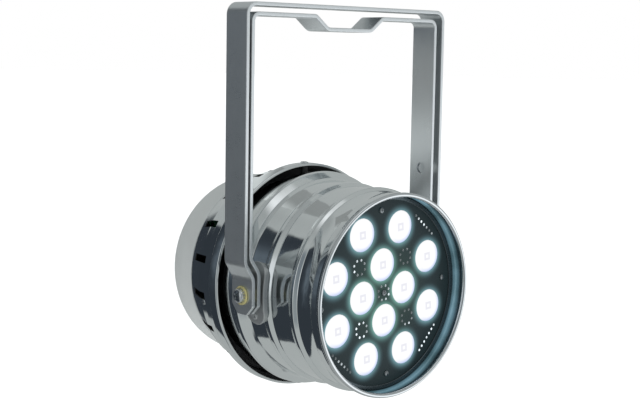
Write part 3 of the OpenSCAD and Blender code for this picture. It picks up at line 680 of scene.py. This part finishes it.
# ---- LED front -----------------------------------------------------------------------------
PLATE_BACK, PLATE_FACE, PLATE_R = 72.0, 74.0, 105.0
LENS_HOLE_R, SCREW_HOLE_R, HOLE_R = 18.0, 1.9, 1.05
DIAGONALS = (45, 135, 225, 315)
RING_SPOTS = [(0, 0)] + [(48, a) for a in DIAGONALS]
SCREW_SPOTS = [(0, 0)] + [(90, a) for a in QUARTERS]
RING_HOLES, RING_R = 8, 8.0
LINE_HOLES, LINE_PITCH, LINE_OUT = 7, 5.6, 90.5


def make_plate():
    """The front plate with its lens openings, rings and lines of small holes, and the ring on its edge."""
    loops = [circle(0, 0, PLATE_R, 144, hole=False)]
    loops += [circle(*polar(*spot), LENS_HOLE_R, 56) for spot in LENS_SPOTS]
    for spot in RING_SPOTS:
        x, y = polar(*spot)
        for k in range(RING_HOLES):
            dx, dy = polar(RING_R, spot[1] + (k + 0.5) * 360 / RING_HOLES)
            loops.append(circle(x + dx, y + dy, HOLE_R, 12))
    for a in DIAGONALS:
        turn = Matrix.Rotation(math.radians(a), 2)
        for k in range(LINE_HOLES):
            at = turn @ Vector((LINE_OUT, (k - LINE_HOLES // 2) * LINE_PITCH))
            loops.append(circle(at.x, at.y, HOLE_R, 12))
    loops += [circle(*polar(*spot), SCREW_HOLE_R, 16) for spot in SCREW_SPOTS]
    bm = bmesh.new()
    first = 1 + len(LENS_SPOTS)
    last = first + RING_HOLES * len(RING_SPOTS) + LINE_HOLES * len(DIAGONALS)
    slab(bm, loops, PLATE_BACK, PLATE_FACE, 0.25, 2, lambda n: int(first <= n < last))
    as_object("visual_plate", bm, "can", ["plate", "pin_hole"], ["front_plate"],
              IN_PLATE, weighted=True)
    bm = bmesh.new()
    r_in = PLATE_R - 4.5
    ring = [(r_in, 74.05), (r_in, 75.4), (r_in + 0.6, 76)]
    ring += [(PLATE_R - 0.5, 76), (PLATE_R, 75.5), (PLATE_R, 74.05)]
    lathe(bm, ring, 144, closed=True)
    as_object("visual_plate_ring", bm, "can", ["plate_ring"], ["plate_ring"], IN_CAN)


def make_lenses():
    for i, spot in enumerate(LENS_SPOTS):
        x, y = polar(*spot)
        profile = [(0, 74.4), (4, 74.38), (9, 74.25), (13, 74.0), (16, 73.7), (17.2, 73.4), (LENS_R, 72.8),
                   (LENS_R, 69), (15.4, 69), (6.6, 52), (4.6, 52), (4, 56), (0, 56)]
        bm = bmesh.new()
        lathe(bm, [(r, z - PLATE_BACK) for r, z in profile], 56)
        where = IN_PLATE @ Matrix.Translation((x * MM, y * MM, PLATE_BACK * MM))
        name = f"lens_{i + 1}"
        as_object("visual_" + name, bm, "can", ["lens"], [name], where)


# ---- screws and the pivot ------------------------------------------------------------------
def head_mesh(r, h):
    """A domed pan head with a tapered cross recess, standing on Z = 0."""
    bm = bmesh.new()
    dome = [(r * 0.985 * math.sin(a), h * (0.42 + 0.58 * math.cos(a))) for a in
            [math.radians(90 * k / 8) for k in range(9)]]
    lathe(bm, [(0, 0), (r * 0.97, 0), (r, h * 0.06), (r, h * 0.36)] + dome[::-1], 40)
    bmesh.ops.recalc_face_normals(bm, faces=bm.faces)
    cutter = bmesh.new()
    for turn in (0, 90):
        top, bottom = (r * 0.62, r * 0.115), (r * 0.30, r * 0.075)
        corners = []
        for (half_l, half_w), z in ((top, h * 1.1), (bottom, h * 0.42)):
            for sx, sy in ((-1, -1), (1, -1), (1, 1), (-1, 1)):
                p = Vector((sx * half_l, sy * half_w, z))
                p.rotate(Matrix.Rotation(math.radians(turn), 3, "Z"))
                corners.append(cutter.verts.new(p))
        for quad in ((3, 2, 1, 0), (4, 5, 6, 7), (0, 1, 5, 4), (1, 2, 6, 5), (2, 3, 7, 6), (3, 0, 4, 7)):
            cutter.faces.new([corners[q] for q in quad])
    bmesh.ops.recalc_face_normals(cutter, faces=cutter.faces)
    return boolean(bm, cutter)


def boolean(bm, cutter):
    """The first mesh less the second."""
    made = []
    for part in (bm, cutter):
        mesh = bpy.data.meshes.new("part")
        part.to_mesh(mesh)
        part.free()
        made.append(bpy.data.objects.new("part", mesh))
        bpy.context.scene.collection.objects.link(made[-1])
    modifier = made[0].modifiers.new("cut", "BOOLEAN")
    modifier.operation, modifier.object, modifier.solver = "DIFFERENCE", made[1], "EXACT"
    modifier.use_self = True
    bpy.context.view_layer.update()
    result = bmesh.new()
    result.from_mesh(made[0].evaluated_get(bpy.context.evaluated_depsgraph_get()).to_mesh())
    for part in made:
        bpy.data.objects.remove(part)
    return result


def stamp(bm, source, where):
    """Adds a copy of one mesh to another."""
    mesh = bpy.data.meshes.new("stamp")
    source.to_mesh(mesh)
    mesh.transform(where)
    bm.from_mesh(mesh)
    bpy.data.meshes.remove(mesh)


def radial(degrees, along, out):
    """Where a piece stands on the can's side at an angle, its Z pointing outward, in millimetres."""
    turn = Matrix.Rotation(math.radians(degrees), 4, "Z")
    outward = Matrix.Rotation(math.radians(90), 4, "Y")
    return turn @ Matrix.Translation((0, 0, along)) @ outward @ Matrix.Translation((0, 0, out))


def screws(name, r, h, places, shank, body, material, where, turn=0.0):
    """All the screws of one CAD node: heads with their recesses, on plain shanks."""
    head = head_mesh(r, h)
    pin_r, pin_l = shank
    outline = [(0, 0.02), (pin_r, 0.02), (pin_r, -pin_l + 0.5), (pin_r - 0.5, -pin_l), (0, -pin_l)]
    bm = bmesh.new()
    for k, place in enumerate(places):
        spin = Matrix.Rotation(math.radians(turn + 37 * k), 4, "Z")
        stamp(bm, head, place @ spin)
        pin = bmesh.new()
        lathe(pin, outline, 20)
        stamp(bm, pin, place)
        pin.free()
    head.free()
    return as_object("visual_" + name, bm, body, [material], [name], where, weighted=True)


YELLOW_SEAT, TOOTHED_SEAT, HEAD_SEAT = 134.3, 135.8, 137.0
PAD_R = (112.7, 118.6)
PAD_W, PAD_H, RIVET_Y = 32.0, 69.0, 24.0
RIVET_ANGLE = math.degrees(math.asin(RIVET_Y / PAD_R[1]))
SIDES = (0, 180)


def gear_outline(r, tip, teeth):
    """Outline of a toothed washer."""
    made = []
    for k in range(teeth):
        for share, radius in ((0.0, r), (0.22, r), (0.36, tip), (0.64, tip), (0.78, r)):
            a = 2 * math.pi * (k + share) / teeth
            made.append(Vector((radius * math.cos(a), radius * math.sin(a))))
    return made


def washers(name, outline, low, high, edge, steps, material):
    """A washer on each side's bolt, from its outline."""
    both = bmesh.new()
    for side in SIDES:
        one = bmesh.new()
        slab(one, [outline, circle(0, 0, 4.2, 28)], low, high, edge, steps)
        stamp(both, one, radial(side, 0, 0))
        one.free()
    as_object("visual_" + name, both, "can", [material], [name], IN_CAN, weighted=True)


def make_pivot():
    seats = [radial(side, 0, HEAD_SEAT) for side in SIDES]
    screws("pivot_bolts", 7.4, 5.0, seats, (3.98, 36.6), "can", "screw", IN_CAN, 20)
    washers("toothed_washers", gear_outline(7.2, 8.4, 14), TOOTHED_SEAT, HEAD_SEAT, 0.2, 2,
            "screw")
    washers("yellow_washers", circle(0, 0, 10, 48, False), YELLOW_SEAT, TOOTHED_SEAT, 0.35, 3,
            "yellow_zinc")


def make_pads():
    """Curved obround pads between the can and the inner bracket, and the rivets that hold them."""
    straight, r = (PAD_H - PAD_W) / 2, PAD_W / 2
    outline = []
    for s in (1, -1):
        for k in range(25):
            a = math.radians(-90 + 180 * k / 24) if s > 0 else math.radians(90 + 180 * k / 24)
            outline.append(Vector((s * straight + r * math.cos(a), r * math.sin(a))))
    loops = [outline, circle(0, 0, 4.3, 28)]
    both = bmesh.new()
    for side in SIDES:
        one = bmesh.new()
        slab(one, loops, PAD_R[0], PAD_R[1], 1.1, 4)
        slice_along(one, 0, [k * 2.0 for k in range(-17, 18)])
        for v in one.verts:
            a = v.co.x / PAD_R[1]
            v.co = (v.co.z * math.cos(a), v.co.z * math.sin(a), v.co.y)
        stamp(both, one, Matrix.Rotation(math.radians(side), 4, "Z"))
        one.free()
    as_object("visual_side_pads", both, "can", ["pad"], ["side_pads"], IN_CAN, weighted=True)
    rivets = bmesh.new()
    head = [(0, 0.1), (1.0, 0.1), (1.25, 0.5), (1.5, 1.25), (1.9, 1.48), (2.6, 1.42), (3.4, 1.1)]
    head += [(4.0, 0.55), (4.2, 0.0), (0, 0)]
    for side in SIDES:
        for s in (1, -1):
            one = bmesh.new()
            lathe(one, head, 36)
            stamp(rivets, one, radial(side + s * RIVET_ANGLE, 0, PAD_R[1] + 0.03))
            one.free()
    as_object("visual_pad_rivets", rivets, "can", ["pad"], ["pad_rivets"], IN_CAN)


FLANGE_SCREW_Z, FLANGE_R = -61.5, 127.2
VENT_SCREW_Z, VENT_SCREW_FIRST = -90.75, 12.3
PANEL_SCREW_Z, PANEL_SCREW_PCR = -197.05, 70


def make_screws():
    flange = [radial(a, FLANGE_SCREW_Z, FLANGE_R) for a in (90, 270)]
    screws("flange_screws", 4.6, 1.8, flange, (1.6, 12), "can", "screw", IN_CAN)
    (r_low, z_low), (r_high, z_high) = CAP_RUN[2][:2], CAP_RUN[3][:2]
    slope = math.atan2(r_high - r_low, z_high - z_low)
    lean = Matrix.Rotation(slope, 4, "Y")
    reach = r_low + (VENT_SCREW_Z - z_low) * math.tan(slope)
    vent = [radial(VENT_SCREW_FIRST + a, VENT_SCREW_Z, reach) @ lean for a in QUARTERS]
    screws("vent_screws", 2.9, 1.6, vent, (1.4, 8), "can", "screw", IN_CAN)
    front = [Matrix.Translation((*polar(*spot), PLATE_FACE)) for spot in SCREW_SPOTS]
    screws("plate_screws", 3.4, 2.0, front, (1.5, 9), "can", "dim_screw", IN_PLATE, 15)
    face = Matrix.Rotation(math.pi, 4, "X")
    back = [Matrix.Translation((*polar(PANEL_SCREW_PCR, a), PANEL_SCREW_Z)) @ face for a in DIAGONALS]
    screws("panel_screws", 2.9, 1.6, back, (1.4, 6), "can", "screw", IN_CAN, 10)


# ---- CAD nodes that stay -------------------------------------------------------------------
KEPT = {
    "bracket_spacers": "yellow_zinc", "pivot_spacers": "nylon", "pivot_nuts": "screw",
    "flange_spacers": "nylon", "plate_standoffs": "brass", "lens_holders": "holder",
    "led_board": "board_white", "led_emitters": "emitter", "heatsink": "sink",
    "heatsink_feet": "sheet", "fan_frame": "holder", "fan_rotor": "holder",
    "chassis_tray": "sheet", "power_supply": "sheet", "driver_board": "board_green",
    "board_spacers": "brass", "rear_panel": "panel", "display_module": "board_green",
    "display_window": "window", "button_menu": "button", "button_down": "button",
    "button_up": "button", "button_enter": "button", "dmx_input": "socket",
    "dmx_output": "socket", "output_latch": "contact", "power_inlet": "socket_black",
    "inlet_pins": "contact", "fuse_holder": "socket_black",
}


def dress_kept():
    """Gives the CAD nodes that stay their finishes, and rounds their edges."""
    for name, material in KEPT.items():
        kept = nodes[name]
        kept.data.materials.clear()
        kept.data.materials.append(MATERIALS[material])
        weld = kept.modifiers.new("weld", "WELD")
        weld.merge_threshold = 2e-6
        bevel = kept.modifiers.new("edges", "BEVEL")
        bevel.width, bevel.segments, bevel.limit_method = 0.00025, 2, "ANGLE"
        bevel.angle_limit = math.radians(40)
        bevel.use_clamp_overlap = True
        bevel.harden_normals = False


# ---- studio --------------------------------------------------------------------------------
FLOOR_DROP = 0.16
LIGHT_TONE = (0.445, 0.468, 0.464)
UPPER_TONE = (0.36, 0.38, 0.38)
DARK_TONE = (0.034, 0.042, 0.052)
MID_TONE = (0.13, 0.16, 0.19)
STRIP_TONE = (0.78, 0.81, 0.83)
KEY_TONE = (1.40, 1.44, 1.47)
HIGH_TONE = (0.95, 0.97, 0.98)
SOFT_TONE = (0.62, 0.64, 0.64)
# Panels by direction, in degrees. Heading is 0 along +Y and grows toward -X. Each panel has its
# headings and then its heights, as (from, to, softness of the edge).
PANELS = {
    "fold": ((-32, 20, 6), (-64, -57, 2)),
    "patch": ((36, 54, 8), (-8, 24, 8)),
    "flag": ((122, 158, 6), (-32, 30, 6)),
    "strip": ((82, 108, 4), (-10, 24, 8)),
    "key": ((-168, -104, 8), (-44, 0, 8)),
}
# The dark screen's edges. Its top and foot move with the heading, and its first side with the
# height: over the first two numbers the edge goes from the third to the fourth.
SCREEN_TOP = (8, 32, 12, 38)
SCREEN_FOOT = (8, 26, -26, -62)
SCREEN_SIDE = (-22, 4, -21, -11)
SCREEN_END = (74, 82)


def make_world():
    """Soft studio light by direction: a dark screen behind on the left with a lighter patch, a bright
    strip beside it, a grey flag round the camera, a key low on the right and a panel high in front.
    Soft shading takes one even tone, and the camera sees plain white."""
    scene = bpy.context.scene
    scene.view_settings.view_transform = "Standard"
    world = bpy.data.worlds.new("studio")
    world.use_nodes = True
    scene.world = world
    g = Graph(world.node_tree)
    way = g.add("ShaderNodeTexCoord").outputs["Generated"]
    parts = g.add("ShaderNodeSeparateXYZ", {0: g.vector("NORMALIZE", way)}).outputs
    ripple = g.noise(way, 5.0, 3.0)
    wobble = g.math("MULTIPLY_ADD", ripple, 10.0, -5.0)
    degrees = 180 / math.pi
    height = g.math("MULTIPLY", g.math("ARCSINE", parts["Z"]), degrees)
    heading = g.math("MULTIPLY", g.math("ARCTAN2", g.math("MULTIPLY", parts["X"], -1.0), parts["Y"]), degrees)
    rise = g.math("ADD", height, wobble)

    def panel(name, up):
        headings, heights = PANELS[name]
        return g.math("MULTIPLY", g.between(heading, *headings), g.between(up, *heights))

    def past_edge(value):
        return g.ramp(value, -2, 2)

    top = g.math("SUBTRACT", g.ramp(heading, *SCREEN_TOP), rise)
    foot = g.math("SUBTRACT", rise, g.ramp(heading, *SCREEN_FOOT))
    side = g.math("SUBTRACT", heading, g.ramp(rise, *SCREEN_SIDE))
    dark = g.math("MULTIPLY", past_edge(top), past_edge(foot))
    dark = g.math("MULTIPLY", dark, g.ramp(heading, *SCREEN_END, 1, 0))
    dark = g.math("MULTIPLY", dark, past_edge(side))
    dark = g.math("MAXIMUM", dark, g.math("MULTIPLY", panel("fold", rise), 0.8))
    blotch = g.math("MULTIPLY", panel("patch", rise), g.ramp(ripple, 0.35, 0.6, 0.3, 0.9))
    shade = g.mix(blotch, DARK_TONE, MID_TONE)
    upper = g.math("MULTIPLY", g.ramp(heading, 0, 20), g.ramp(height, 30, 55))
    base = g.mix(upper, LIGHT_TONE, UPPER_TONE)
    base = g.mix(g.math("MULTIPLY", panel("flag", rise), 0.8), base, MID_TONE)
    base = g.mix(panel("strip", rise), base, STRIP_TONE)
    base = g.mix(panel("key", height), base, KEY_TONE)
    high = g.math("MULTIPLY", g.ramp(g.math("ABSOLUTE", heading), 140, 158), g.between(height, 44, 68, 8))
    base = g.mix(high, base, HIGH_TONE)
    shown = g.mix(dark, base, shade)
    path = g.add("ShaderNodeLightPath").outputs
    soft = g.mix(path["Is Diffuse Ray"], shown, SOFT_TONE)
    final = g.mix(path["Is Camera Ray"], soft, (1.0, 1.0, 1.0))
    sky = g.add("ShaderNodeBackground", {"Color": final, "Strength": 1.0})
    out = g.add("ShaderNodeOutputWorld")
    g.tree.links.new(sky.outputs[0], out.inputs[0])


def make_floor():
    made, g = new_material("floor")
    where = g.place()
    grain = g.noise(where, 60.0)
    g.principled(Base_Color=g.mix(grain, (0.86, 0.86, 0.86), (0.90, 0.90, 0.90)),
                 Roughness=g.ramp(grain, 0.3, 0.7, 0.7, 0.85), Emission_Color=(1, 1, 1),
                 Emission_Strength=0.60)
    bm = bmesh.new()
    bmesh.ops.create_circle(bm, cap_ends=True, segments=96, radius=30)
    mesh = bpy.data.meshes.new("floor")
    bm.to_mesh(mesh)
    bm.free()
    mesh.materials.append(made)
    floor = bpy.data.objects.new("floor", mesh)
    floor.location.z = cad_low.z - FLOOR_DROP
    floor.visible_glossy = False
    bpy.context.scene.collection.objects.link(floor)


CARD_FADE = (-0.055, 0.01)    # metres from the card's middle, upward


def make_card(name, size, place, turn, tone, low_share, high_share):
    """An upright studio card that shows only in reflections. Its top may be dimmer than its foot."""
    made, g = new_material(name)
    where = g.place()
    grain = g.noise(where, 30.0)
    rise = g.add("ShaderNodeSeparateXYZ", {0: where}).outputs["Y"]
    g.principled(Base_Color=(0.02, 0.02, 0.02), Roughness=g.ramp(grain, 0.3, 0.7, 0.8, 0.9),
                 Emission_Color=tone, Emission_Strength=g.ramp(rise, *CARD_FADE, low_share, high_share))
    bm = bmesh.new()
    bmesh.ops.create_grid(bm, x_segments=1, y_segments=1, size=0.5)
    bmesh.ops.scale(bm, vec=(*size, 1), verts=bm.verts)
    mesh = bpy.data.meshes.new(name)
    bm.to_mesh(mesh)
    bm.free()
    mesh.materials.append(made)
    card = bpy.data.objects.new(name, mesh)
    card.location = place
    card.rotation_euler = (math.radians(90), 0, math.radians(turn))
    card.visible_camera = card.visible_diffuse = card.visible_shadow = False
    bpy.context.scene.collection.objects.link(card)


make_camera()
make_world()
make_floor()
make_card("bounce", (0.20, 0.16), (0.0, 0.148, -0.112), 42, LIGHT_TONE, 1.55, 0.60)
make_brackets()
make_can()
make_cap()
make_plate()
make_lenses()
make_pivot()
make_pads()
make_screws()
dress_kept()
